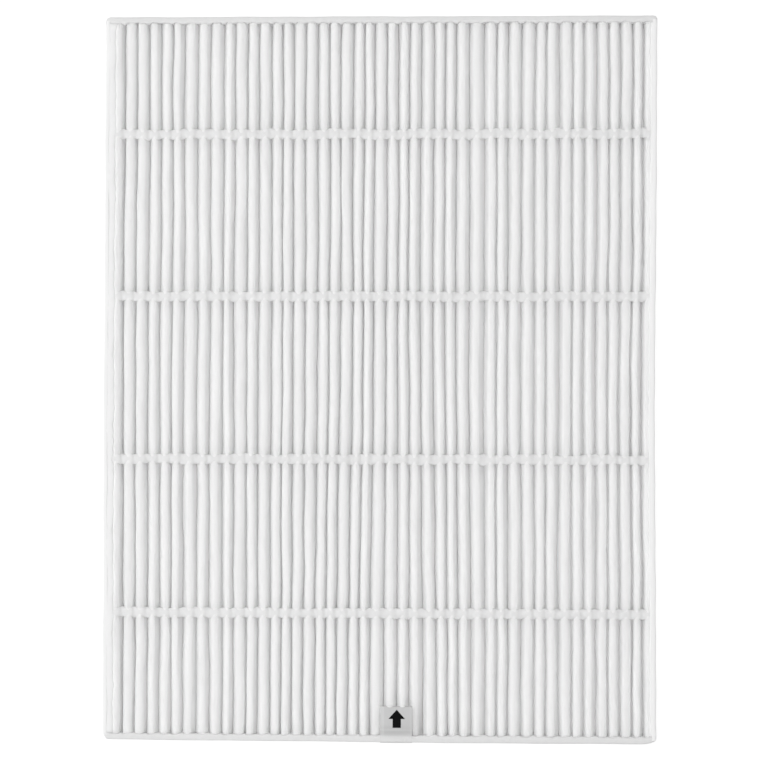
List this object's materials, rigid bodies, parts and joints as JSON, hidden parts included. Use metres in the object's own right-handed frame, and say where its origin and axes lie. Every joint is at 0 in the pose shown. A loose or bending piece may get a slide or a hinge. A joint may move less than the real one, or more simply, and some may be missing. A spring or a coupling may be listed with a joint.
{
  "type": "pleated panel air filter",
  "caption": "Frameless flat air filter panel: white pleated media held by glue strings, soft edge bands and a small film tab with a flow arrow.",
  "frame": {"origin": "middle of the back face, on the surface that the panel lies on", "axes": "+X across the pleats to the right as seen from the front, +Y along the pleats away from the arrow tab, +Z out of the front face"},
  "size_m": [0.29, 0.3822, 0.0302],
  "materials": {
    "nonwoven_media": "soft matt white non-woven sheet",
    "felt_band": "soft matt white felt",
    "hot_melt_glue": "milky white, slightly satin",
    "tab_film": "satin translucent grey-white film",
    "printed_ink": "matt black print"
  },
  "bodies": {
    "root": {"pleated_media": "nonwoven_media", "left_band": "felt_band", "right_band": "felt_band", "top_band": "felt_band", "bottom_band": "felt_band", "left_seam": "hot_melt_glue", "right_seam": "hot_melt_glue", "top_seam": "hot_melt_glue", "bottom_seam": "hot_melt_glue", "arrow_tab": "tab_film", "direction_arrow": "printed_ink", "front_bead_1": "hot_melt_glue", "back_bead_1": "hot_melt_glue", "front_bead_2": "hot_melt_glue", "back_bead_2": "hot_melt_glue", "front_bead_3": "hot_melt_glue", "back_bead_3": "hot_melt_glue", "front_bead_4": "hot_melt_glue", "back_bead_4": "hot_melt_glue"}
  },
  "joints": []
}
